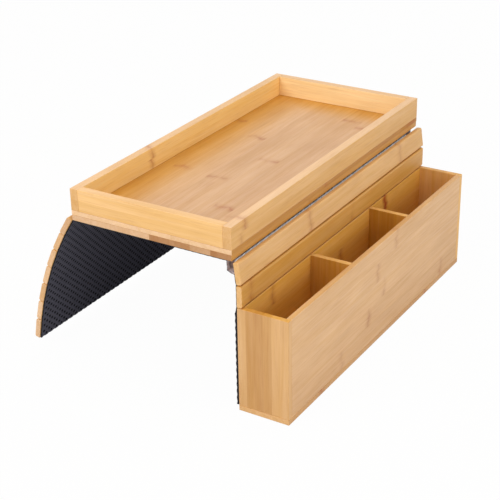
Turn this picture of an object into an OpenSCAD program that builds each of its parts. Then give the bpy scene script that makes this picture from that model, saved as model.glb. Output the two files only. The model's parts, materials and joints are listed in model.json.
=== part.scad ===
// Sofa arm tray: a bamboo tray on a roll-up mat of bamboo slats.
// The slats are bonded to one sheet of non-slip backing, which is the hinge between them.
// Seven slats drape down the left of the sofa arm. Two drape down the right and carry a caddy.
// +X runs across the arm to the caddy, +Y runs along the arm and +Z is up.
// The origin is the middle of the backing's underside, which lies on the arm.

/* [Slats] */
// Width of one slat
slat_width = 21.2; // [15:0.1:30]
// Thickness of one slat
slat_thickness = 5.6; // [4:0.1:8]
// Gap between neighbouring slats when the mat is flat
slat_gap = 0.8; // [0.6:0.1:2]
// Bevel along each slat's upper long edges, which makes the V groove between slats
slat_bevel = 1.1; // [0.3:0.1:1.5]

/* [Tray] */
// Length along the sofa arm of the tray, the slats and the caddy
tray_length = 380; // [280:1:460]
// Thickness of the board that is the tray's floor
board_thickness = 4.8; // [3:0.1:8]
// How far the board reaches past the slats under it, on each side
board_overhang = 0.9; // [0:0.1:3]
// Height of the rails above the board
rail_height = 22; // [12:0.5:40]
// Thickness of the rails
rail_thickness = 9; // [6:0.5:14]
// Small bevel on the rails, the board and the caddy's panels
edge_bevel = 0.5; // [0.2:0.1:1]

/* [Backing] */
// Thickness of the non-slip backing
backing_thickness = 1.2; // [0.8:0.1:2]
// Slit between two strips of backing, where the mat folds
backing_slit = 0.5; // [0.4:0.1:1.5]
// How far the backing stops short of the slats' ends
backing_inset = 1; // [0:0.5:10]

/* [Drape] */
// Angle of the first left slat from plumb, in degrees
left_top_angle = 32; // [20:1:40]
// Angle of the last left slat from plumb, in degrees
left_end_angle = 10; // [0:1:15]
// Angle of the first right slat from plumb, in degrees
right_top_angle = 8; // [0:1:15]

/* [Caddy] */
// Depth of the caddy from its back to its front
caddy_depth = 53; // [40:0.5:80]
// Height of the caddy
caddy_height = 107; // [80:1:140]
// Thickness of the caddy's walls and dividers
caddy_wall = 5.5; // [4:0.1:8]
// Thickness of the caddy's floor
caddy_floor_thickness = 5.5; // [4:0.1:8]
// How far the backing stops above the bottom of the caddy
caddy_backing_margin = 5; // [0:0.5:20]

/* [Hidden] */
base_count = 8;
left_count = 7;

// The sides of the mat: a wing is laid out flat to this side before it is hung.
left_side = -1;
right_side = 1;

// Across the tray
slat_pitch = slat_width + slat_gap;
base_width = base_count * slat_pitch - slat_gap;
tray_width = base_width + 2 * board_overhang;
fold_x = (base_width + slat_gap) / 2;

// Up through the tray
slat_top = backing_thickness + slat_thickness;
board_top = slat_top + board_thickness;

// Each fold of the mat is a line along Y on the backing's inner face, given here by its X and Z.
function left_angle(i) = left_top_angle + (left_end_angle - left_top_angle) * (i - 1) / (left_count - 1);
function left_fold(i) = i == 1
    ? [-fold_x, 0]
    : left_fold(i - 1) + slat_pitch * [-sin(left_angle(i - 1)), -cos(left_angle(i - 1))];
right_fold_1 = [fold_x, 0];
right_fold_2 = right_fold_1 + slat_pitch * [sin(right_top_angle), -cos(right_top_angle)];
caddy_fold = right_fold_2 + [0, -slat_pitch];

// The caddy hangs plumb below the second right slat, and is as long as the tray
caddy_length = tray_length;
caddy_x = caddy_fold[0] + backing_thickness;
caddy_top = caddy_fold[1] - slat_gap / 2;
caddy_bottom = caddy_top - caddy_height;
caddy_inner_depth = caddy_depth - 2 * caddy_wall;
caddy_inner_length = caddy_length - 2 * caddy_wall;
caddy_wall_height = caddy_height - caddy_floor_thickness;
caddy_cell = (caddy_inner_length - 2 * caddy_wall) / 3;

pale_bamboo = "#F3CC90";
warm_bamboo = "#DDB07C";
slat_bamboo = "#DBB070";
black_backing = "#1B1C21";

// A bar along Y, centred on X and Y and standing on Z = 0, with its upper long edges bevelled
module bar(width, height, length, bevel) {
    translate([0, length / 2, 0])
        rotate([90, 0, 0])
            linear_extrude(length)
                polygon([
                    [-width / 2, 0],
                    [width / 2, 0],
                    [width / 2, height - bevel],
                    [width / 2 - bevel, height],
                    [-width / 2 + bevel, height],
                    [-width / 2, height - bevel],
                ]);
}

// Hangs a flat wing piece from its fold, at an angle from plumb
module hang(side, fold, angle) {
    translate([fold[0], 0, fold[1]])
        rotate([0, side * (90 - angle), 0])
            children();
}

// One slat lying flat, beside a fold at the origin
module wing_slat(side) {
    color(slat_bamboo)
        translate([side * slat_pitch / 2, 0, backing_thickness])
            bar(slat_width, slat_thickness, tray_length, slat_bevel);
}

// A strip of backing lying flat, from one X to another
module backing_strip(from_x, to_x) {
    color(black_backing)
        translate([from_x, -tray_length / 2 + backing_inset, 0])
            cube([to_x - from_x, tray_length - 2 * backing_inset, backing_thickness]);
}

// The backing under one wing slat, beside a fold at the origin
module wing_backing(side) {
    near_x = backing_slit / 2;
    far_x = slat_pitch - backing_slit / 2;
    backing_strip(min(side * near_x, side * far_x), max(side * near_x, side * far_x));
}

module left_slat(i) {
    hang(left_side, left_fold(i), left_angle(i)) wing_slat(left_side);
}

module backing_left(i) {
    hang(left_side, left_fold(i), left_angle(i)) wing_backing(left_side);
}

module right_slat_1() {
    hang(right_side, right_fold_1, right_top_angle) wing_slat(right_side);
}

module right_slat_2() {
    hang(right_side, right_fold_2, 0) wing_slat(right_side);
}

module backing_right_1() {
    hang(right_side, right_fold_1, right_top_angle) wing_backing(right_side);
}

module backing_right_2() {
    hang(right_side, right_fold_2, 0) wing_backing(right_side);
}

// The slats under the tray, from left to right
module base_slat(i) {
    color(slat_bamboo)
        translate([-base_width / 2 + slat_width / 2 + (i - 1) * slat_pitch, 0, backing_thickness])
            bar(slat_width, slat_thickness, tray_length, slat_bevel);
}

module backing_base() {
    backing_strip(-fold_x + backing_slit / 2, fold_x - backing_slit / 2);
}

// The board lies on the base slats, and the rails stand on the board
module tray_board() {
    color(warm_bamboo)
        translate([-tray_width / 2, -tray_length / 2, slat_top])
            cube([tray_width, tray_length, board_thickness]);
}

module side_rail(side) {
    color(pale_bamboo)
        translate([side * (tray_width - rail_thickness) / 2, 0, board_top])
            bar(rail_thickness, rail_height, tray_length, edge_bevel);
}

// The end rails fit between the side rails
module end_rail(side) {
    color(pale_bamboo)
        translate([0, side * (tray_length - rail_thickness) / 2, board_top])
            rotate([0, 0, 90])
                bar(rail_thickness, rail_height, tray_width - 2 * rail_thickness, edge_bevel);
}

module side_rail_left() {
    side_rail(-1);
}

module side_rail_right() {
    side_rail(1);
}

module end_rail_near() {
    end_rail(-1);
}

module end_rail_far() {
    end_rail(1);
}

// The caddy's floor is as large as the caddy, and its walls stand on it
module caddy_floor() {
    color(warm_bamboo)
        translate([caddy_x, -caddy_length / 2, caddy_bottom])
            cube([caddy_depth, caddy_length, caddy_floor_thickness]);
}

module caddy_long_wall(from_x) {
    color(warm_bamboo)
        translate([from_x + caddy_wall / 2, 0, caddy_bottom + caddy_floor_thickness])
            bar(caddy_wall, caddy_wall_height, caddy_inner_length, edge_bevel);
}

module caddy_back() {
    caddy_long_wall(caddy_x);
}

module caddy_front() {
    caddy_long_wall(caddy_x + caddy_depth - caddy_wall);
}

// A wall across the caddy, centred at y
module caddy_cross_wall(y, width) {
    color(pale_bamboo)
        translate([caddy_x + caddy_depth / 2, y, caddy_bottom + caddy_floor_thickness])
            rotate([0, 0, 90])
                bar(caddy_wall, caddy_wall_height, width, edge_bevel);
}

// The ends are as wide as the caddy, so the long walls fit between them
module caddy_end_near() {
    caddy_cross_wall(-(caddy_length - caddy_wall) / 2, caddy_depth);
}

module caddy_end_far() {
    caddy_cross_wall((caddy_length - caddy_wall) / 2, caddy_depth);
}

// The dividers make three equal cells between the long walls
module caddy_divider_near() {
    caddy_cross_wall(-(caddy_cell + caddy_wall) / 2, caddy_inner_depth);
}

module caddy_divider_far() {
    caddy_cross_wall((caddy_cell + caddy_wall) / 2, caddy_inner_depth);
}

// The backing runs on down the caddy's back
module backing_caddy() {
    hang(right_side, caddy_fold, 0)
        backing_strip(backing_slit / 2, slat_gap / 2 + caddy_height - caddy_backing_margin);
}

tray_board();
side_rail_left();
side_rail_right();
end_rail_near();
end_rail_far();
base_slat(1);  // base_slat_1
base_slat(2);  // base_slat_2
base_slat(3);  // base_slat_3
base_slat(4);  // base_slat_4
base_slat(5);  // base_slat_5
base_slat(6);  // base_slat_6
base_slat(7);  // base_slat_7
base_slat(8);  // base_slat_8
left_slat(1);  // left_slat_1
left_slat(2);  // left_slat_2
left_slat(3);  // left_slat_3
left_slat(4);  // left_slat_4
left_slat(5);  // left_slat_5
left_slat(6);  // left_slat_6
left_slat(7);  // left_slat_7
right_slat_1();
right_slat_2();
caddy_floor();
caddy_back();
caddy_front();
caddy_end_near();
caddy_end_far();
caddy_divider_near();
caddy_divider_far();
backing_base();
backing_left(1);  // backing_left_1
backing_left(2);  // backing_left_2
backing_left(3);  // backing_left_3
backing_left(4);  // backing_left_4
backing_left(5);  // backing_left_5
backing_left(6);  // backing_left_6
backing_left(7);  // backing_left_7
backing_right_1();
backing_right_2();
backing_caddy();
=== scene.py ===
"""Sofa arm tray: the finish of a bamboo tray, its mat of bamboo slats on a non-slip backing, and its caddy."""
import json
import math
import random
from collections import namedtuple

import bmesh
import bpy
import numpy as np
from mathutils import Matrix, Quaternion, Vector


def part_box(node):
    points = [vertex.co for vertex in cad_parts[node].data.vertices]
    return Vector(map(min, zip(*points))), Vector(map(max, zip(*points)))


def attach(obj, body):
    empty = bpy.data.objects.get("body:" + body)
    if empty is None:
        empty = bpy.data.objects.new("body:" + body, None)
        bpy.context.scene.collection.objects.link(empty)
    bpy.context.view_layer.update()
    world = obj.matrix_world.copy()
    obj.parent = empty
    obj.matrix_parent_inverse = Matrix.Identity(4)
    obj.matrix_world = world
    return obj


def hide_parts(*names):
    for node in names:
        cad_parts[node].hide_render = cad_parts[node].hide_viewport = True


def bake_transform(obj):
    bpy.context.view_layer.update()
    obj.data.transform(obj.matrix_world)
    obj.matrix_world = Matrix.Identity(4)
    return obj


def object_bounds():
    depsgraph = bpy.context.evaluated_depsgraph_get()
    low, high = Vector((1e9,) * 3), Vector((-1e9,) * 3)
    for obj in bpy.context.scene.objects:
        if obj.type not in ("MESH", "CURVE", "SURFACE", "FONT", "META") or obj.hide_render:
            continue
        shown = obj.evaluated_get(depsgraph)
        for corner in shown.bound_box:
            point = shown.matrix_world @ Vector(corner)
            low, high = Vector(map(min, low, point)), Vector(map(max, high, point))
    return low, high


bl_info = {
    "name": "Sofa arm tray",
    "version": (1, 0, 0),
    "blender": (4, 5, 0),
    "location": "View3D > Sidebar > Arm tray",
    "description": "Models and finishes a bamboo sofa arm tray with a slatted mat and a caddy",
    "category": "Object",
}

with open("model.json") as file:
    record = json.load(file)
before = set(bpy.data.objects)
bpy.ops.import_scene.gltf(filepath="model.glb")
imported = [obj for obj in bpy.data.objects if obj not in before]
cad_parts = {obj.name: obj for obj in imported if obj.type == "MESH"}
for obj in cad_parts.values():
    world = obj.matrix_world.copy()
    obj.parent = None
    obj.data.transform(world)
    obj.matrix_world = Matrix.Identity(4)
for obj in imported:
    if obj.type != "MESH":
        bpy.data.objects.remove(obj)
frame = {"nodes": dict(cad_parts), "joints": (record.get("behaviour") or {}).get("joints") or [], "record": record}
CAD_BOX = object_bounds()
MM = 0.001
X, Y, Z = 0, 1, 2
BASE_SLATS = [f"base_slat_{i}" for i in range(1, 9)]
LEFT_SLATS = [f"left_slat_{i}" for i in range(1, 8)]
RIGHT_SLATS = ["right_slat_1", "right_slat_2"]
BODY_OF = {node: body for body, nodes in frame["record"]["behaviour"]["bodies"].items() for node in nodes}
FOLD = {joint["name"]: np.array(joint["pos_m"], float)[[X, Z]] for joint in frame["joints"]}
# The two colour inputs of a Mix node and its colour output
MIX_A, MIX_B, MIX_OUT = 6, 7, 2
# How the faces of a piece look, each as (tone, amber): tone goes from pale to the brown of old growth,
# and amber from untinted to golden. The faces are those to the sides, those above and below, and the end grain.
Look = namedtuple("Look", "sides above ends")


def linear(hex_colour):
    """The linear colour, with alpha, of an sRGB hex value."""
    parts = [int(hex_colour[i : i + 2], 16) / 255 for i in (1, 3, 5)]
    return tuple(c / 12.92 if c <= 0.04045 else ((c + 0.055) / 1.055) ** 2.4 for c in parts) + (1.0,)


def colour_setting(name, description, hex_colour):
    return bpy.props.FloatVectorProperty(
        name=name, description=description, subtype="COLOR", size=4, min=0, max=1, default=linear(hex_colour)
    )


def length_setting(name, description, millimetres):
    return bpy.props.FloatProperty(
        name=name, description=description, subtype="DISTANCE", unit="LENGTH", min=0, default=millimetres * MM
    )


def angle_setting(name, description, degrees):
    return bpy.props.FloatProperty(
        name=name, description=description, subtype="ANGLE", default=math.radians(degrees)
    )


def power_setting(name, description, watts):
    return bpy.props.FloatProperty(name=name, description=description, unit="POWER", min=0, default=watts)


class StageSettings(bpy.types.PropertyGroup):
    """Where the camera stands, and how bright the lamps are."""

    camera_place: bpy.props.FloatVectorProperty(
        name="Camera place",
        description="Where the camera stands",
        subtype="XYZ",
        unit="LENGTH",
        default=(0.6392, -1.0444, 0.5113),
    )
    camera_azimuth: angle_setting("Azimuth", "Turn of the camera to the left of the tray's length", 31.904)
    camera_elevation: angle_setting("Elevation", "Angle at which the camera looks down", 26.155)
    camera_roll: angle_setting("Roll", "Tilt of the camera about its line of sight", -1.104)
    camera_lens: bpy.props.FloatProperty(
        name="Lens", description="Focal length of the camera", unit="CAMERA", default=93.74
    )
    floor_drop: length_setting("Floor drop", "Height at which the caddy hangs above the floor", 1)
    sky_strength: bpy.props.FloatProperty(
        name="Soft light", description="Strength of the even light from above, which fades toward the floor", default=0.78, min=0
    )
    key_power: power_setting("Key lamp", "Power of the large lamp at the front left", 17)
    top_power: power_setting("Top lamp", "Power of the lamp above the tray", 3.0)
    side_power: power_setting("Side lamp", "Power of the lamp on the caddy's side", 6.9)


class WoodSettings(bpy.types.PropertyGroup):
    """Edges and colours of the bamboo pieces."""

    panel_rounding: length_setting("Panel rounding", "Radius of the rails' and panels' sanded edges", 0.45)
    slat_rounding: length_setting("Slat rounding", "Radius of the slats' upper long edges, at the grooves", 1.9)
    slat_end_rounding: length_setting("Slat end rounding", "Radius of the slats' other edges", 0.45)
    base_slat_rounding: length_setting("Base slat rounding", "Radius of the edges of the slats under the tray", 0.2)
    slat_wander: length_setting("Slat wander", "How far a slat's end may stand off the line of its neighbours", 0.7)
    pale: colour_setting("Bamboo, pale", "The palest bamboo", "#F7D0A6")
    # Painted light: this paler, more yellow colour goes only on the rails' side faces that look into the tray, where
    # more light falls.
    painted_inward_light: colour_setting("Bamboo, fresh", "Bamboo that was cut young, pale and more yellow", "#FFE0A9")
    old_growth: colour_setting("Bamboo, old growth", "What the brown of old growth leaves of the pale colour", "#C3AE99")
    amber: colour_setting("Bamboo, amber", "What amber bamboo and lacquer leave of the pale colour", "#FFEEA6")
    brown: colour_setting("Growth rings", "Brown of the growth rings and darkest fibres", "#A44410")


class BackingSettings(bpy.types.PropertyGroup):
    """Mesh and colours of the non-slip backing."""

    hole_pitch: length_setting("Hole pitch", "Distance between the holes of one row, along the tray", 8.0)
    rows_per_slat: bpy.props.IntProperty(
        name="Rows per slat", description="Rows of holes under one slat, an even number", default=6, min=2, max=12
    )
    hole_depth: length_setting("Hole depth", "How deep the holes sink into the backing", 0.8)
    edge_wave: length_setting("Edge wave", "How far the backing's cut edges go in and out between holes", 0.25)
    caddy_swell: length_setting("Swell at the caddy", "How far the backing bulges behind the caddy", 1.9)
    strand: colour_setting("Strand", "Foamed coating on the strands", "#5A5A68")
    # Painted shade: the holes' bottoms are near black, as the shade in them.
    hole: colour_setting("Hole", "Bottom of the holes", "#08080A")
    # Painted light: this pale grey stands for light coming through the loose, stretched mesh.
    painted_through_light: colour_setting("Open strand", "Strands where the mesh is stretched and light comes through", "#D8D0DC")


def deselect_all():
    if bpy.context.mode != "OBJECT":
        bpy.ops.object.mode_set(mode="OBJECT")
    bpy.ops.object.select_all(action="DESELECT")


def add_node(tree, kind, inputs=None, **settings):
    """Adds a node with its settings, and fills or links its inputs, given by name or number."""
    node = tree.nodes.new(kind)
    for key, value in settings.items():
        setattr(node, key, value)
    for key, value in (inputs or {}).items():
        if isinstance(value, bpy.types.NodeSocket):
            tree.links.new(value, node.inputs[key])
        else:
            node.inputs[key].default_value = value
    return node


def grain_noise(tree, place, size, **inputs):
    """A noise whose spots are stretched along the grain: size is how wide, long and deep they are."""
    scale = tuple(1 / length for length in size)
    stretched = add_node(tree, "ShaderNodeMapping", {"Vector": place, "Scale": scale}).outputs["Vector"]
    return add_node(tree, "ShaderNodeTexNoise", {"Vector": stretched, "Scale": 1, **inputs}).outputs["Fac"]


def ring_nearness(tree, own, along, ring_at, spacing):
    """(line, haze) of the nearest growth ring, which wanders as it crosses the strip."""
    width, halo, wander = 2.2 * MM, 8 * MM, 16 * MM
    curve = grain_noise(tree, own, (9 * MM, 45 * MM, 9 * MM), Detail=4, Roughness=0.6)
    inputs = {0: curve, 1: wander, 2: along}
    wandered = add_node(tree, "ShaderNodeMath", inputs, operation="MULTIPLY_ADD").outputs[0]
    from_ring = add_node(tree, "ShaderNodeMath", {0: wandered, 1: ring_at}, operation="SUBTRACT").outputs[0]
    inputs = {0: from_ring, 1: 1 / spacing, 2: 0.5}
    turns = add_node(tree, "ShaderNodeMath", inputs, operation="MULTIPLY_ADD").outputs[0]
    turn = add_node(tree, "ShaderNodeMath", {0: turns}, operation="FRACT").outputs[0]
    middle = add_node(tree, "ShaderNodeMath", {0: turn, 1: 0.5}, operation="SUBTRACT").outputs[0]
    away = add_node(tree, "ShaderNodeMath", {0: middle}, operation="ABSOLUTE").outputs[0]
    near = []
    for reach in (width, halo):
        inputs = {"Value": away, "From Min": 0.0, "From Max": reach / spacing, "To Min": 1.0, "To Max": 0.0}
        settings = {"interpolation_type": "SMOOTHSTEP"}
        near.append(add_node(tree, "ShaderNodeMapRange", inputs, **settings).outputs[0])
    return near


def painted_rail_shade(tree, place, painted_shade_rails):
    """Painted shade with a golden cast: 1 along the left and the far rail round a board, and 0 away from them and
    beyond the rails.
    """
    left_reach, far_reach, rail_middle = 62 * MM, 44 * MM, 4 * MM
    left, far = painted_shade_rails
    parts = add_node(tree, "ShaderNodeSeparateXYZ", {0: place})
    near = []
    for axis, rail, reach in (("X", left, left_reach), ("Y", far, -far_reach)):
        inputs = {"Value": parts.outputs[axis], "From Min": rail + reach, "From Max": rail}
        near.append(add_node(tree, "ShaderNodeMapRange", inputs, interpolation_type="SMOOTHSTEP").outputs[0])
    nearest = add_node(tree, "ShaderNodeMath", {0: near[0], 1: near[1]}, operation="MAXIMUM").outputs[0]
    away = add_node(tree, "ShaderNodeMath", {0: parts.outputs["Y"]}, operation="ABSOLUTE").outputs[0]
    inputs = {0: away, 1: far + rail_middle}
    within = add_node(tree, "ShaderNodeMath", inputs, operation="LESS_THAN").outputs[0]
    return add_node(tree, "ShaderNodeMath", {0: nearest, 1: within}, operation="MULTIPLY").outputs[0]


def bamboo(name, turn, ring_spacing, ring_strength=1.0, painted_shade_rails=None):
    """Planed bamboo, glued up from strips, sanded and given a satin clear lacquer.

    The eye sees fine straight fibres, strips that differ a little in shade, and across a strip, every 20 cm or so,
    the brown line of a growth ring in a haze. turn brings the grain onto Y and the way across the strips onto X.
    The rails' places, the last argument, are where the left and the far rail stand, along which the board is painted
    darker and more golden: painted shade, with painted golden light thrown back by the rails.
    """
    wood = bpy.context.scene.wood_settings
    material = bpy.data.materials.new(name)
    material.use_nodes = True
    tree = material.node_tree
    shader = tree.nodes["Principled BSDF"]
    shader.inputs["IOR"].default_value = 1.5
    shader.inputs["Coat Weight"].default_value = 0.1
    shader.inputs["Coat Roughness"].default_value = 0.35

    own_value = {}
    for key in ("seed", "tone", "amber", "painted_inward_light", "ring_at"):
        own_value[key] = add_node(tree, "ShaderNodeAttribute", attribute_name=key).outputs["Fac"]
    place = add_node(tree, "ShaderNodeTexCoord").outputs["Object"]
    grain = add_node(tree, "ShaderNodeMapping", {"Vector": place, "Rotation": turn}).outputs["Vector"]
    inputs = {0: (3.7, 11.3, 5.9), "Scale": own_value["seed"]}
    shift = add_node(tree, "ShaderNodeVectorMath", inputs, operation="SCALE").outputs["Vector"]
    own = add_node(tree, "ShaderNodeVectorMath", {0: grain, 1: shift}, operation="ADD").outputs["Vector"]
    fibres = grain_noise(tree, own, (0.8 * MM, 26 * MM, 0.8 * MM), Detail=3, Roughness=0.62)
    streaks = grain_noise(tree, own, (4.5 * MM, 110 * MM, 4.5 * MM), Detail=2, Distortion=0.6)
    clouds = grain_noise(tree, own, (22 * MM, 60 * MM, 22 * MM), Detail=2)

    # The tone and the amber of the face, a little uneven along and across the grain
    tone, amber = own_value["tone"], own_value["amber"]
    for noise, swing, shifted in ((streaks, 0.07, "tone"), (streaks, 0.16, "amber"), (clouds, 0.08, "tone")):
        inputs = {"Value": noise, "From Min": 0.28, "From Max": 0.72, "To Min": -swing, "To Max": swing}
        uneven = add_node(tree, "ShaderNodeMapRange", inputs).outputs[0]
        if shifted == "tone":
            tone = add_node(tree, "ShaderNodeMath", {0: tone, 1: uneven}, operation="ADD").outputs[0]
        else:
            amber = add_node(tree, "ShaderNodeMath", {0: amber, 1: uneven}, operation="ADD").outputs[0]
    # Painted shade: near the left and the far rail the board is painted darker and more golden.
    if painted_shade_rails:
        near = painted_rail_shade(tree, place, painted_shade_rails)
        inputs = {0: near, 1: 0.14, 2: tone}
        tone = add_node(tree, "ShaderNodeMath", inputs, operation="MULTIPLY_ADD").outputs[0]
        inputs = {0: near, 1: 1.2, 2: amber}
        amber = add_node(tree, "ShaderNodeMath", inputs, operation="MULTIPLY_ADD").outputs[0]
    # Painted light: the rails' side faces that look into the tray take the paler, more yellow colour.
    inputs = {0: own_value["painted_inward_light"], MIX_A: wood.pale, MIX_B: wood.painted_inward_light}
    colour = add_node(tree, "ShaderNodeMix", inputs, data_type="RGBA").outputs[MIX_OUT]
    for share, tint in ((tone, wood.old_growth), (amber, wood.amber)):
        inputs = {0: share, MIX_A: colour, MIX_B: tint}
        settings = {"data_type": "RGBA", "blend_type": "MULTIPLY", "clamp_factor": False}
        colour = add_node(tree, "ShaderNodeMix", inputs, **settings).outputs[MIX_OUT]

    # The darkest fibres, and the haze and the line of the growth ring, each drawn over what is there
    along = add_node(tree, "ShaderNodeSeparateXYZ", {0: grain}).outputs["Y"]
    line, haze = ring_nearness(tree, own, along, own_value["ring_at"], ring_spacing)
    inputs = {"Value": clouds, "From Min": 0.38, "From Max": 0.6, "To Min": 0.25, "To Max": 1.0}
    patchy = add_node(tree, "ShaderNodeMapRange", inputs).outputs[0]
    line = add_node(tree, "ShaderNodeMath", {0: line, 1: patchy}, operation="MULTIPLY").outputs[0]
    haze = add_node(tree, "ShaderNodeMath", {0: haze, 1: patchy}, operation="MULTIPLY").outputs[0]
    inputs = {"Value": fibres, "From Min": 0.5, "From Max": 0.8}
    dark_fibres = add_node(tree, "ShaderNodeMapRange", inputs).outputs[0]
    for drawn, strength in ((dark_fibres, 0.24), (haze, 0.34 * ring_strength), (line, 0.28 * ring_strength)):
        share = add_node(tree, "ShaderNodeMath", {0: drawn, 1: strength}, operation="MULTIPLY").outputs[0]
        inputs = {0: share, MIX_A: colour, MIX_B: wood.brown}
        colour = add_node(tree, "ShaderNodeMix", inputs, data_type="RGBA").outputs[MIX_OUT]
    tree.links.new(colour, shader.inputs["Base Color"])

    inputs = {"Value": fibres, "From Min": 0.3, "From Max": 0.7, "To Min": 0.44, "To Max": 0.58}
    tree.links.new(add_node(tree, "ShaderNodeMapRange", inputs).outputs[0], shader.inputs["Roughness"])
    bump = add_node(tree, "ShaderNodeBump", {"Strength": 0.35, "Distance": 0.12 * MM, "Height": fibres})
    tree.links.new(bump.outputs["Normal"], shader.inputs["Normal"])
    return material


def foamed_mesh(name):
    """Polyester scrim dipped in foamed PVC, the black mesh sold as non-slip matting.

    The eye sees rounded dull strands round staggered holes, whose bottoms are painted near black as painted shade, and
    strands painted pale grey where the loose mesh would let light through, which is painted light.
    """
    backing = bpy.context.scene.backing_settings
    grit, mottle = 0.6 * MM, 4 * MM
    material = bpy.data.materials.new(name)
    material.use_nodes = True
    tree = material.node_tree
    shader = tree.nodes["Principled BSDF"]
    shader.inputs["Roughness"].default_value = 0.72
    shader.inputs["IOR"].default_value = 1.53
    shader.inputs["Specular IOR Level"].default_value = 0.03
    place = add_node(tree, "ShaderNodeTexCoord").outputs["Object"]
    hole = add_node(tree, "ShaderNodeAttribute", attribute_name="hole").outputs["Fac"]
    through_light_mask = add_node(tree, "ShaderNodeAttribute", attribute_name="through_light_mask").outputs["Fac"]
    foam = add_node(tree, "ShaderNodeTexNoise", {"Vector": place, "Scale": 1 / grit, "Detail": 2}).outputs["Fac"]
    patches = add_node(tree, "ShaderNodeTexNoise", {"Vector": place, "Scale": 1 / mottle, "Detail": 1}).outputs["Fac"]
    inputs = {"Value": patches, "From Min": 0.4, "From Max": 0.6, "To Min": 0.35, "To Max": 1.0}
    uneven = add_node(tree, "ShaderNodeMapRange", inputs).outputs[0]
    through_light_share = add_node(tree, "ShaderNodeMath", {0: through_light_mask, 1: uneven}, operation="MULTIPLY").outputs[0]
    # Painted shade: the holes are painted near black, as the shade in them.
    inputs = {"Value": hole, "From Min": 0.2, "From Max": 0.7, "To Min": 0.0, "To Max": 1.0}
    painted_hole_shade = add_node(tree, "ShaderNodeMapRange", inputs).outputs[0]
    # Painted light: the loose strands are painted pale grey, as light coming through the stretched mesh.
    inputs = {0: through_light_share, MIX_A: backing.strand, MIX_B: backing.painted_through_light}
    strand = add_node(tree, "ShaderNodeMix", inputs, data_type="RGBA").outputs[MIX_OUT]
    inputs = {0: painted_hole_shade, MIX_A: strand, MIX_B: backing.hole}
    coloured = add_node(tree, "ShaderNodeMix", inputs, data_type="RGBA").outputs[MIX_OUT]
    tree.links.new(coloured, shader.inputs["Base Color"])
    bump = add_node(tree, "ShaderNodeBump", {"Strength": 0.3, "Distance": 0.1 * MM, "Height": foam})
    tree.links.new(bump.outputs["Normal"], shader.inputs["Normal"])
    return material


def add_block(name, size):
    """A box round the origin, left in edit mode to be shaped."""
    deselect_all()
    bpy.ops.mesh.primitive_cube_add(size=1, location=(0, 0, 0))
    block = bpy.context.active_object
    block.name = name
    block.data.name = name
    bpy.ops.object.mode_set(mode="EDIT")
    bpy.ops.transform.resize(value=size)
    return block


def bevel_edges(block, radius, steps, chosen):
    """Rounds the edges that pass the test chosen, in edit mode."""
    bpy.ops.mesh.select_mode(type="EDGE")
    bpy.ops.mesh.select_all(action="DESELECT")
    shape = bmesh.from_edit_mesh(block.data)
    for edge in shape.edges:
        edge.select_set(chosen(edge))
    bmesh.update_edit_mesh(block.data)
    bpy.ops.mesh.bevel(offset=radius, segments=steps, profile=0.5, affect="EDGES", clamp_overlap=True)


def upper_long(edge):
    """Whether an edge runs along Y at the top of a block."""
    a, b = (vertex.co for vertex in edge.verts)
    return abs((b - a).normalized().y) > 0.9 and min(a.z, b.z) > 0


def sharp(edge):
    return len(edge.link_faces) == 2 and edge.calc_face_angle() > math.radians(50)


def cut_strips(axis, cuts):
    """Cuts the block's faces where two strips of bamboo are glued together."""
    normal = [0, 0, 0]
    normal[axis] = 1
    for cut in cuts:
        bpy.ops.mesh.select_all(action="SELECT")
        bpy.ops.mesh.bisect(plane_co=[cut * part for part in normal], plane_no=normal)


def smooth_faces(piece):
    """Shades the rounded edges smooth and keeps the flat faces flat."""
    bpy.ops.object.mode_set(mode="OBJECT")
    bpy.ops.object.shade_smooth()
    bpy.ops.object.modifier_add(type="WEIGHTED_NORMAL")
    piece.modifiers[-1].weight = 100
    bpy.ops.object.modifier_apply(modifier=piece.modifiers[-1].name)


def put(piece, place, angle=0.0):
    """Turns the piece about Y, moves it to its place, and leaves both in its mesh."""
    piece.rotation_euler = (0, angle, 0)
    piece.location = place
    bpy.ops.object.transform_apply(location=True, rotation=True, scale=True)


def mark_faces(piece, along, look, seed, strip, shades, rings, painted_inward_light=False):
    """Gives each face what its bamboo reads: seed, tone, amber, where its growth ring is, and whether it takes
    the paler, more yellow colour of painted light, which only a side face that looks to the tray's middle does.
    """
    faces = piece.data.polygons
    normals = np.empty(3 * len(faces))
    faces.foreach_get("normal", normals)
    centres = np.empty(3 * len(faces))
    faces.foreach_get("center", centres)
    inward = np.sum((normals * centres).reshape(-1, 3)[:, :Z], axis=1) < 0
    normals = np.abs(normals.reshape(-1, 3))
    kind = np.where(normals[:, along] > 0.7, 2, np.where(normals[:, Z] > 0.7, 1, 0))
    tone, amber = np.array(look)[kind].T
    values = {
        "seed": seed + strip,
        "tone": tone + np.array(shades)[strip],
        "amber": amber + np.array(shades)[strip] / 2,
        "painted_inward_light": inward * (kind == 0) * painted_inward_light,
        "ring_at": np.array(rings)[strip] * MM,
    }
    for name, each in values.items():
        piece.data.attributes.new(name, "FLOAT", "FACE").data.foreach_set("value", each.astype(np.float32))


def stand_for(piece, node, material):
    """Gives the piece its material, and lets it stand for its CAD node."""
    piece.data.materials.append(material)
    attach(piece, BODY_OF[node])
    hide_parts(node)


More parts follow.
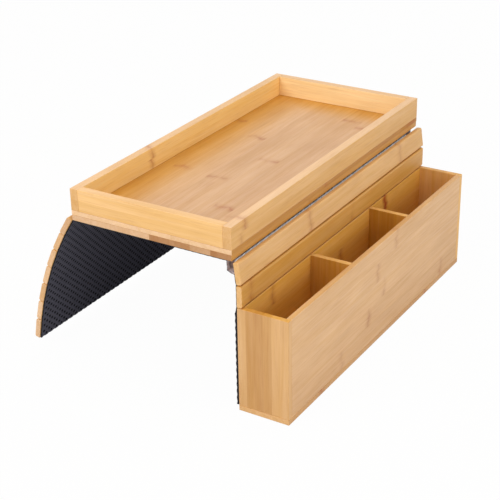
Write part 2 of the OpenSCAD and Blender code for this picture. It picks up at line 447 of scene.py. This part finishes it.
def panel(node, material, along, across, look, seed, shades=(0,), rings=(0,), painted_inward_light=False):
    """A straight rail or panel with sanded edges, glued up from one strip for each of shades, all as wide."""
    low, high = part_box(node)
    count = len(shades)
    piece = add_block(node + "_bamboo", high - low)
    bevel_edges(piece, bpy.context.scene.wood_settings.panel_rounding, 2, sharp)
    cuts = np.linspace(low[across], high[across], count + 1)[1:-1]
    middle = (low + high) / 2
    cut_strips(across, cuts - middle[across])
    smooth_faces(piece)
    put(piece, middle)
    centres = np.empty(3 * len(piece.data.polygons))
    piece.data.polygons.foreach_get("center", centres)
    strip = np.searchsorted(cuts, centres.reshape(-1, 3)[:, across])
    mark_faces(piece, along, look, seed, strip, shades, rings if len(rings) == count else rings * count, painted_inward_light)
    stand_for(piece, node, material)
    return piece


def slat_place(node):
    """(middle, turn about Y, size) of a slat or strip of the mat, whose top faces away from the arm."""
    points = np.array([v.co for v in frame["nodes"][node].data.vertices], float)
    outline = np.unique(points[:, [X, Z]].round(6), axis=0)
    middle = outline.mean(0)
    up = np.linalg.eigh(np.cov((outline - middle).T))[1][:, 0]
    if up @ np.array([middle[0], CAD_BOX[1].x]) < 0:
        up = -up
    side = np.array([up[1], -up[0]])
    wide, thick = (outline - middle) @ side, (outline - middle) @ up
    middle = middle + side * (wide.min() + wide.max()) / 2 + up * (thick.min() + thick.max()) / 2
    size = Vector((np.ptp(wide), np.ptp(points[:, Y]), np.ptp(thick)))
    return Vector((middle[0], points[:, Y].mean(), middle[1])), math.atan2(up[0], up[1]), size


def slat(node, material, rounding, look, seed, wander, ring_at, widened=0.0):
    """A slat of the mat: rounded where the grooves are, and hardly square at its ends."""
    middle, angle, size = slat_place(node)
    size.x += widened
    piece = add_block(node + "_bamboo", size)
    bevel_edges(piece, rounding, 4, upper_long)
    bevel_edges(piece, min(rounding, bpy.context.scene.wood_settings.slat_end_rounding), 2, sharp)
    smooth_faces(piece)
    put(piece, middle + Vector((0, wander, 0)), angle)
    mark_faces(piece, Y, look, seed, np.zeros(len(piece.data.polygons), int), [0], [ring_at])
    stand_for(piece, node, material)
    return piece


class ARMTRAY_OT_stage(bpy.types.Operator):
    """Sets up the camera, the soft studio light and the pale floor"""

    bl_idname = "armtray.stage"
    bl_label = "Stage"

    def execute(self, context):
        settings = context.scene.stage_settings
        self.place_camera(context.scene, settings)
        self.light(context.scene, settings)
        self.lay_floor(settings)
        context.scene.view_settings.view_transform = "Standard"
        return {"FINISHED"}

    def place_camera(self, scene, settings):
        deselect_all()
        bpy.ops.object.camera_add(location=settings.camera_place)
        camera = bpy.context.active_object
        camera.name = "camera"
        level = Vector((math.sin(settings.camera_azimuth), -math.cos(settings.camera_azimuth), 0))
        back = level * math.cos(settings.camera_elevation)
        back.z = math.sin(settings.camera_elevation)
        roll = Quaternion((0, 0, 1), settings.camera_roll)
        camera.rotation_euler = (back.to_track_quat("Z", "Y") @ roll).to_euler()
        camera.data.sensor_width = 36
        camera.data.lens = settings.camera_lens
        camera.data.clip_start, camera.data.clip_end = 0.05, 20
        scene.camera = camera

    def light(self, scene, settings):
        world = bpy.data.worlds.new("studio")
        scene.world = world
        world.use_nodes = True
        tree = world.node_tree
        tree.nodes.clear()
        seen = self.rays_that_see_white(tree)
        direction = add_node(tree, "ShaderNodeTexCoord").outputs["Generated"]
        height = add_node(tree, "ShaderNodeSeparateXYZ", {0: direction}).outputs["Z"]
        low, high = 0.15 * settings.sky_strength, settings.sky_strength
        inputs = {"Value": height, "From Min": -0.1, "From Max": 0.8, "To Min": low, "To Max": high}
        strength = add_node(tree, "ShaderNodeMapRange", inputs).outputs[0]
        soft = add_node(tree, "ShaderNodeBackground", {"Color": linear("#FFFCF6"), "Strength": strength})
        white = add_node(tree, "ShaderNodeBackground", {"Color": (1, 1, 1, 1), "Strength": 1.0})
        both = add_node(tree, "ShaderNodeMixShader", {0: seen, 1: soft.outputs[0], 2: white.outputs[0]})
        add_node(tree, "ShaderNodeOutputWorld", {"Surface": both.outputs[0]})
        self.add_lamp("key_lamp", (-0.55, -1.55, 1.05), 1.1, settings.key_power)
        self.add_lamp("top_lamp", (0.15, 0.35, 1.5), 1.2, settings.top_power)
        self.add_lamp("side_lamp", (1.6, -0.32, 0.42), 1.0, settings.side_power)

    def rays_that_see_white(self, tree):
        """1 for the camera's rays, and for those that are mirrored or pass through glass."""
        path = add_node(tree, "ShaderNodeLightPath").outputs
        inputs = {0: path["Is Camera Ray"], 1: path["Is Glossy Ray"]}
        first = add_node(tree, "ShaderNodeMath", inputs, operation="MAXIMUM").outputs[0]
        inputs = {0: first, 1: path["Is Transmission Ray"]}
        return add_node(tree, "ShaderNodeMath", inputs, operation="MAXIMUM").outputs[0]

    def add_lamp(self, name, place, size, power):
        bpy.ops.object.light_add(type="AREA", location=place)
        lamp = bpy.context.active_object
        lamp.name = name
        lamp.data.shape = "DISK"
        lamp.data.size = size
        lamp.data.energy = power
        lamp.data.color = linear("#FFFAF2")[:3]
        lamp.rotation_euler = Vector(place).to_track_quat("Z", "Y").to_euler()

    def lay_floor(self, settings):
        """A pale floor that stays white to the camera but for the object's shadow."""
        deselect_all()
        place = (0, 0, CAD_BOX[0].z - settings.floor_drop)
        bpy.ops.mesh.primitive_plane_add(size=14, location=place)
        floor = bpy.context.active_object
        floor.name = "floor"
        bpy.ops.object.transform_apply(location=True, rotation=True, scale=True)
        material = bpy.data.materials.new("white_painted_board")
        material.use_nodes = True
        tree = material.node_tree
        tree.nodes.clear()
        paint = add_node(tree, "ShaderNodeBsdfDiffuse", {"Color": linear("#DCDCDA")})
        white = add_node(tree, "ShaderNodeEmission", {"Color": (1, 1, 1, 1), "Strength": 1.0})
        seen = self.rays_that_see_white(tree)
        shown = add_node(tree, "ShaderNodeMath", {0: seen, 1: 0.975}, operation="MULTIPLY")
        both = add_node(tree, "ShaderNodeMixShader", {0: shown.outputs[0], 1: paint.outputs[0], 2: white.outputs[0]})
        add_node(tree, "ShaderNodeOutputMaterial", {"Surface": both.outputs[0]})
        floor.data.materials.append(material)


class ARMTRAY_OT_tray(bpy.types.Operator):
    """Models the tray: its board and its four rails"""

    bl_idname = "armtray.tray"
    bl_label = "Tray board and rails"

    def execute(self, context):
        # Where the left and the far rail stand, for the painted shade along them on the board
        painted_shade_rails = (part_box("side_rail_left")[1].x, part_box("end_rail_far")[0].y)
        board = bamboo("board_laminated_bamboo", (0, 0, 0), 260 * MM, painted_shade_rails=painted_shade_rails)
        side = bamboo("side_rail_bamboo", (0, math.radians(90), 0), 420 * MM, 1.2)
        end = bamboo("end_rail_bamboo", (math.radians(90), 0, math.radians(90)), 300 * MM, 0.5)
        panel(
            "tray_board",
            board,
            along=Y,
            across=X,
            look=Look(sides=(0.9, 1.12), above=(0.57, 0.04), ends=(0.13, 0.08)),
            seed=3,
            shades=(0.0, 0.04, -0.05, 0.03, -0.02, 0.05, -0.03, 0.02),
            rings=(96, -44, 61, -50, 12, -108, 138, -12),
        )
        left = Look(sides=(0.0, 0.52), above=(0.2, 0.25), ends=(0.36, 0.6))
        right = Look(sides=(0.19, 0.67), above=(0.14, 0.1), ends=(0.33, 0.55))
        near = Look(sides=(0.05, 0.63), above=(0.12, 0.46), ends=(0.15, 0.55))
        far = Look(sides=(0.0, 0.0), above=(0.2, 0.25), ends=(0.2, 0.4))
        # The left and the far rail's side faces that look into the tray are painted paler and more yellow: painted
        # light.
        panel("side_rail_left", side, Y, Z, left, 11, (0.03, 0), (-62, -61), painted_inward_light=True)
        panel("side_rail_right", side, Y, Z, right, 21, (0.08, 0.02), (-166, -158))
        panel("end_rail_near", end, X, Z, near, 31, (0.03, -0.02), (190, 200))
        panel("end_rail_far", end, X, Z, far, 41, (0.03, 0), (190, 200), painted_inward_light=True)
        return {"FINISHED"}


class ARMTRAY_OT_slats(bpy.types.Operator):
    """Models the slats of the mat: eight under the tray, seven on the left and two on the right"""

    bl_idname = "armtray.slats"
    bl_label = "Slats of the mat"

    def execute(self, context):
        wood = context.scene.wood_settings
        material = bamboo("slat_bamboo_lacquered", (0, 0, 0), 196 * MM, 0.7)
        draw = random.Random(7)
        LEFT_ENDS = [(0.55, 0.1), (0.45, 0.3), (0.3, 0.05), (0.3, 0.0), (0.46, 0.3), (0.18, 0.0), (0.32, 0.0)]
        # Four slats from pale bamboo, then four from old growth
        END_LOOKS = [(0.44, 0.0), (0.4, 0.0), (0.44, 0.0), (0.36, 0.0), (1.1, 0.2), (1.0, 0.2), (0.8, 0.05), (1.16, 0.2)]
        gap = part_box("base_slat_2")[0].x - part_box("base_slat_1")[1].x

        def place_ring():
            """Where a slat's growth ring is, from its middle in mm: neither there nor at its ends."""
            return draw.choice((-1, 1)) * draw.uniform(35, 85)

        for number, node in enumerate(BASE_SLATS):
            look = Look(sides=(0.75, 1.05), above=(0.65, 0.9), ends=END_LOOKS[number])
            slat(node, material, wood.base_slat_rounding, look, 50 + number, 0, place_ring(), gap)
        for number, node in enumerate(LEFT_SLATS):
            face, end = (draw.uniform(0.15, 0.4), draw.uniform(0.4, 0.8)), LEFT_ENDS[number]
            wander = draw.uniform(-1, 1) * wood.slat_wander
            slat(node, material, wood.slat_rounding, Look(face, face, end), 60 + number, wander, place_ring())
        upper, lower = (0.24, 0.6), (0.5, 1.06)
        slat("right_slat_1", material, wood.slat_rounding, Look(upper, upper, upper), 70, 0.0, -54.7)
        slat("right_slat_2", material, wood.slat_rounding, Look(lower, lower, upper), 71, -0.3 * MM, 30)
        return {"FINISHED"}


class ARMTRAY_OT_caddy(bpy.types.Operator):
    """Models the caddy: its floor, walls, ends and dividers"""

    bl_idname = "armtray.caddy"
    bl_label = "Caddy"

    def execute(self, context):
        flat = bamboo("caddy_floor_bamboo", (0, 0, 0), 232 * MM)
        front_wall = bamboo("caddy_front_bamboo", (0, math.radians(90), 0), 232 * MM, 0.8)
        back_wall = bamboo("caddy_back_bamboo", (0, math.radians(90), 0), 232 * MM, 2.6)
        cross_wall = bamboo("caddy_end_bamboo", (math.radians(-90), 0, 0), 250 * MM, 0.6)
        look = Look(sides=(0.62, 0.62), above=(0.5, 0.9), ends=(0.35, 0.5))
        panel("caddy_floor", flat, Y, X, look, 80, (0.02, -0.04, 0.03), (-90, 20, 110))
        look = Look(sides=(0.2, 1.18), above=(0.4, 0.9), ends=(0.3, 0.5))
        panel("caddy_back", back_wall, Y, Z, look, 90, (0.05, 0, 0.04, 0.03, 0), (40, -60, 90, 7, 104))
        look = Look(sides=(0.33, 0.26), above=(0.52, 0.56), ends=(0.3, 0.5))
        panel("caddy_front", front_wall, Y, Z, look, 100, (0.16, 0.06, 0, 0, 0.02), (-82, -25, 9, -6, 34))
        near = Look(sides=(0.43, 0.5), above=(0, 0), ends=(0.5, 1.15))
        panel("caddy_end_near", cross_wall, Z, X, near, 110, (0.02, 0.3, 0.38, 0.24, -0.03, -0.05))
        far = Look(sides=(0.0, 0.75), above=(0, 0), ends=(0.3, 0.9))
        panel("caddy_end_far", cross_wall, Z, X, far, 120, (0.0, 0.1, 0.02))
        dividers = {"caddy_divider_near": (0.66, 1.2), "caddy_divider_far": (0.8, 1.3)}
        for number, (node, sides) in enumerate(dividers.items()):
            look = Look(sides=sides, above=(0, 0), ends=(0.35, 0.9))
            panel(node, cross_wall, Z, X, look, 130 + 10 * number, (0.0, 0.08, -0.04))
        return {"FINISHED"}


class MatLine:
    """The line of the backing's inner face, from the left wing's tip over the tray and down the caddy's back."""

    # The folds from the left tip to the caddy
    ORDER = [f"left_fold_{i}" for i in range(7, 0, -1)] + ["right_fold_1", "right_fold_2", "caddy_fold"]
    # Where the backing has come off and hangs in a pouch at the first fold on the right: how far before and
    # after the fold it starts and ends, and the two ends of its bottom, from the fold
    POUCH_BEFORE, POUCH_AFTER = 6 * MM, 12 * MM
    POUCH_BOTTOM = np.array([(-5.6, -9.4), (-2.2, -11.2)]) * MM

    def __init__(self):
        folds = [FOLD[name] for name in self.ORDER]
        tip = folds[0] + self.reach("backing_left_7", folds[0])
        end = folds[-1] + self.reach("backing_caddy", folds[-1])
        right = self.ORDER.index("right_fold_1")
        down = folds[right + 1] - folds[right]
        self.pitch = np.linalg.norm(down)
        pouch = [
            folds[right] - np.array([self.POUCH_BEFORE, 0]),
            *(folds[right] + self.POUCH_BOTTOM),
            folds[right] + down / self.pitch * self.POUCH_AFTER,
        ]
        self.points = np.array([tip, *folds[:right], *pouch, *folds[right + 1 :], end])
        steps = np.diff(self.points, axis=0)
        lengths = np.linalg.norm(steps, axis=1)
        self.ways = steps / lengths[:, None]
        self.at = np.concatenate([[0], np.cumsum(lengths)])
        before, after = self.at[1 : right + 1], self.at[right + 5 : -1]
        self.pouch_at = self.at[right + 1], self.at[right + 4]
        self.fold_at = dict(zip(self.ORDER, [*before, after[0] - self.pitch, *after]))

    def reach(self, node, fold):
        """The way from a fold to the far end of the strip of backing below it."""
        points = np.array([v.co for v in frame["nodes"][node].data.vertices], float)[:, [X, Z]]
        middle, angle, size = slat_place(node)
        way = np.array([math.cos(angle), -math.sin(angle)])
        if way[1] > 0:
            way = -way
        return way * ((points - fold) @ way).max()

    def lay(self, along, height, bend=1.6 * MM):
        """X and Z of points at a distance along the line and a height above it, turning smoothly at each fold."""
        segment = np.clip(np.searchsorted(self.at, along, side="right") - 1, 0, len(self.ways) - 1)
        way = self.ways[segment]
        rise = np.stack([-way[:, 1], way[:, 0]], axis=1)
        place = self.points[segment] + way * (along - self.at[segment])[:, None] + rise * height[:, None]
        for k in range(1, len(self.points) - 1):
            offset = along - self.at[k]
            near = np.abs(offset) < bend
            before, after = self.ways[k - 1], self.ways[k]
            turn = math.atan2(before[0] * after[1] - before[1] * after[0], before @ after)
            share = (offset[near] + bend) / (2 * bend)
            angle = share * share * (3 - 2 * share) * turn
            lift = np.array([-before[1], before[0]])
            flat = before * offset[near][:, None] + lift * height[near][:, None]
            c, s = np.cos(angle), np.sin(angle)
            turned = np.stack([flat[:, 0] * c - flat[:, 1] * s, flat[:, 0] * s + flat[:, 1] * c], axis=1)
            place[near] = self.points[k] + turned
        return place


def sheet_faces(kept):
    """The faces of a closed sheet of cells, whose inner face's points come first, row by row, and then its outer
    face's. kept tells which cells are there, and the others are holes through it.
    """
    steps, columns = kept.shape
    width = columns + 1
    outer = (steps + 1) * width
    there = np.pad(kept, 1)
    faces = []
    for row, column in zip(*(each.tolist() for each in np.nonzero(kept))):
        a = row * width + column
        b, c, d = a + 1, a + width + 1, a + width
        faces += [(a, b, c, d), (outer + a, outer + d, outer + c, outer + b)]
        for row_by, column_by, p, q in ((0, 1, a, b), (1, 2, b, c), (2, 1, c, d), (1, 0, d, a)):
            if not there[row + row_by, column + column_by]:
                faces.append((q, p, outer + p, outer + q))
    return faces


def backing_sheet(name, line, start, stop, swell, material):
    """A closed sheet of backing between two places along the line, with its holes sunk into its inner face."""
    backing = bpy.context.scene.backing_settings
    low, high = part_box("backing_base")
    thickness = high.z - low.z
    row = line.pitch / backing.rows_per_slat
    per_hole = 8
    columns = per_hole * round((high.y - low.y) / backing.hole_pitch)
    # The wide sheet under the tray has fewer steps in a row, to stay under 200,000 triangles
    steps_per_row = 3 if stop - start > 100 * MM else 4
    steps = max(2, round((stop - start) / row * steps_per_row))
    along = np.linspace(start, stop, steps + 1)
    across = np.linspace(-1, 1, columns + 1)
    wave = np.cos(np.pi * (along - line.fold_at["right_fold_2"]) / row)
    i, j = np.meshgrid(np.arange(steps + 1), np.arange(columns + 1), indexing="ij")
    pattern = -wave[i] * np.cos(2 * np.pi * j / per_hole)
    hole = np.clip((pattern - 0.1) / 0.9, 0, 1) ** 0.7
    hole[:, :2] = hole[:, -2:] = 0
    half = (high.y - low.y) / 2 - backing.edge_wave * (0.5 + 0.5 * wave)
    bulge = swell * (0.82 + 0.18 * wave[i] * np.cos(2 * np.pi * j / per_hole))
    bulge *= np.clip((along[i] - line.fold_at["caddy_fold"]) / (2 * row), 0, 1)
    # Where the backing hangs loose it is flat and stretched thin, and its finer holes go through it
    loose = ((along > line.pouch_at[0]) & (along < line.pouch_at[1]))[i]
    hole = np.where(loose, 0, hole)
    k, c = np.meshgrid(np.arange(steps), np.arange(columns), indexing="ij")
    staggered = (c + k // 4) % 2
    kept = ~loose[:-1, :-1] | ~loose[1:, 1:] | (k % 4 > 1) | (staggered > 0) | (c < 12) | (c >= columns - 12)
    # The cut edges are darkened 0.6 of the way to the holes' painted shade
    hole_shade = hole.copy()
    hole_shade[:, [0, -1]] = 0.6
    points = []
    for height in (hole * backing.hole_depth - bulge, np.where(loose, 0.2 * thickness, thickness)):
        place = line.lay(along[i].ravel(), height.ravel())
        points.append(np.column_stack([place[:, 0], (across[j] * half[i]).ravel(), place[:, 1]]))
    mesh = bpy.data.meshes.new(name)
    mesh.from_pydata(np.concatenate(points).tolist(), [], sheet_faces(kept))
    sheet = bpy.data.objects.new(name, mesh)
    bpy.context.scene.collection.objects.link(sheet)
    mesh.materials.append(material)
    outer_shade = np.zeros(hole.shape)
    outer_shade[:, [0, -1]] = 0.6
    # The loose stretch is marked for painted light: its strands are painted pale grey, as light coming through.
    for key, inner, outer in (("hole", hole_shade, outer_shade), ("through_light_mask", loose, loose)):
        each = np.ravel([inner, outer]).astype(np.float32)
        mesh.attributes.new(key, "FLOAT", "POINT").data.foreach_set("value", each)
    deselect_all()
    sheet.select_set(True)
    bpy.context.view_layer.objects.active = sheet
    bpy.ops.object.mode_set(mode="EDIT")
    bpy.ops.mesh.select_all(action="SELECT")
    bpy.ops.mesh.delete_loose()
    bpy.ops.object.mode_set(mode="OBJECT")
    bpy.ops.object.shade_smooth_by_angle(angle=math.radians(60))
    return sheet


class ARMTRAY_OT_backing(bpy.types.Operator):
    """Models the non-slip backing, which is one sheet that bends at every fold of the mat"""

    bl_idname = "armtray.backing"
    bl_label = "Non-slip backing"

    def execute(self, context):
        self.material = foamed_mesh("foamed_pvc_mesh")
        self.line = MatLine()
        at, half = self.line.fold_at, self.line.pitch / 2
        bottom = self.line.at[-1]
        swell = context.scene.backing_settings.caddy_swell
        self.plain("backing_left_end", 0, at["left_fold_7"] - half, "backing_left_7", ["left_slat_7"])
        for i in range(7, 0, -1):
            nodes = [f"backing_left_{i - 1}"] if i > 1 else []
            slats = [f"left_slat_{i}", f"left_slat_{i - 1}" if i > 1 else "base_slat_1"]
            bodies = [f"left_{i}", f"left_{i - 1}" if i > 1 else "tray"]
            self.folding(f"backing_left_fold_{i}", at[f"left_fold_{i}"], nodes, bodies, slats)
        start, stop = at["left_fold_1"] + half, at["right_fold_1"] - half
        self.plain("backing_under_tray", start, stop, "backing_base", BASE_SLATS)
        pouch = self.line.points[self.line.ORDER.index("right_fold_1") + 1 :][:3:2]
        slats = ["base_slat_8", "right_slat_1"]
        fold = at["right_fold_1"]
        self.folding("backing_right_fold_1", fold, ["backing_right_1"], ["tray", "right_1"], slats, pouch)
        self.folding("backing_right_fold_2", at["right_fold_2"], ["backing_right_2"], ["right_1", "right_2"], RIGHT_SLATS)
        slats = ["right_slat_2", "caddy_back"]
        self.folding("backing_caddy_fold", at["caddy_fold"], [], ["right_2", "caddy"], slats, swell=swell)
        start = at["caddy_fold"] + half
        self.plain("backing_caddy_panel", start, bottom, "backing_caddy", ["caddy_back"], swell=swell, held="hung")
        return {"FINISHED"}

    def sheet(self, name, start, stop, nodes, rests_on, swell=0.0, held="stretched"):
        sheet = backing_sheet(name, self.line, start, stop, swell, self.material)
        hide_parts(*nodes)
        return sheet

    def plain(self, name, start, stop, node, rests_on, **options):
        """A stretch of the backing that no fold crosses."""
        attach(self.sheet(name, start, stop, [node], rests_on, **options), BODY_OF[node])

    def folding(self, name, fold, nodes, bodies, rests_on, bend=None, swell=0.0):
        """A stretch of the backing half a slat wide to each side of a fold, laid round the fold in its rest shape."""
        half, give = self.line.pitch / 2, 1.6 * MM
        sheet = self.sheet(name, fold - half, fold + half, nodes, rests_on, swell)
        if bend is None:
            bend = self.line.lay(np.array([fold - give, fold + give]), np.zeros(2))
        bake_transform(sheet)


class ARMTRAY_PT_parts(bpy.types.Panel):
    """Lists the settings and the steps that model the arm tray"""

    bl_label = "Arm tray"
    bl_space_type = "VIEW_3D"
    bl_region_type = "UI"
    bl_category = "Arm tray"

    def draw(self, context):
        for group in (context.scene.stage_settings, context.scene.wood_settings, context.scene.backing_settings):
            box = self.layout.box()
            for name in group.__annotations__:
                box.prop(group, name)
        for operator in OPERATORS:
            self.layout.operator(operator.bl_idname)


OPERATORS = (ARMTRAY_OT_stage, ARMTRAY_OT_tray, ARMTRAY_OT_slats, ARMTRAY_OT_caddy, ARMTRAY_OT_backing)
SETTINGS = {"stage_settings": StageSettings, "wood_settings": WoodSettings, "backing_settings": BackingSettings}


def register():
    for group in SETTINGS.values():
        bpy.utils.register_class(group)
    for operator in OPERATORS:
        bpy.utils.register_class(operator)
    bpy.utils.register_class(ARMTRAY_PT_parts)
    for name, group in SETTINGS.items():
        setattr(bpy.types.Scene, name, bpy.props.PointerProperty(type=group))


def unregister():
    for name in SETTINGS:
        delattr(bpy.types.Scene, name)
    bpy.utils.unregister_class(ARMTRAY_PT_parts)
    for operator in reversed(OPERATORS):
        bpy.utils.unregister_class(operator)
    for group in SETTINGS.values():
        bpy.utils.unregister_class(group)


def main():
    register()
    bpy.ops.armtray.stage()
    bpy.ops.armtray.tray()
    bpy.ops.armtray.slats()
    bpy.ops.armtray.caddy()
    bpy.ops.armtray.backing()


if __name__ == "__main__":
    main()
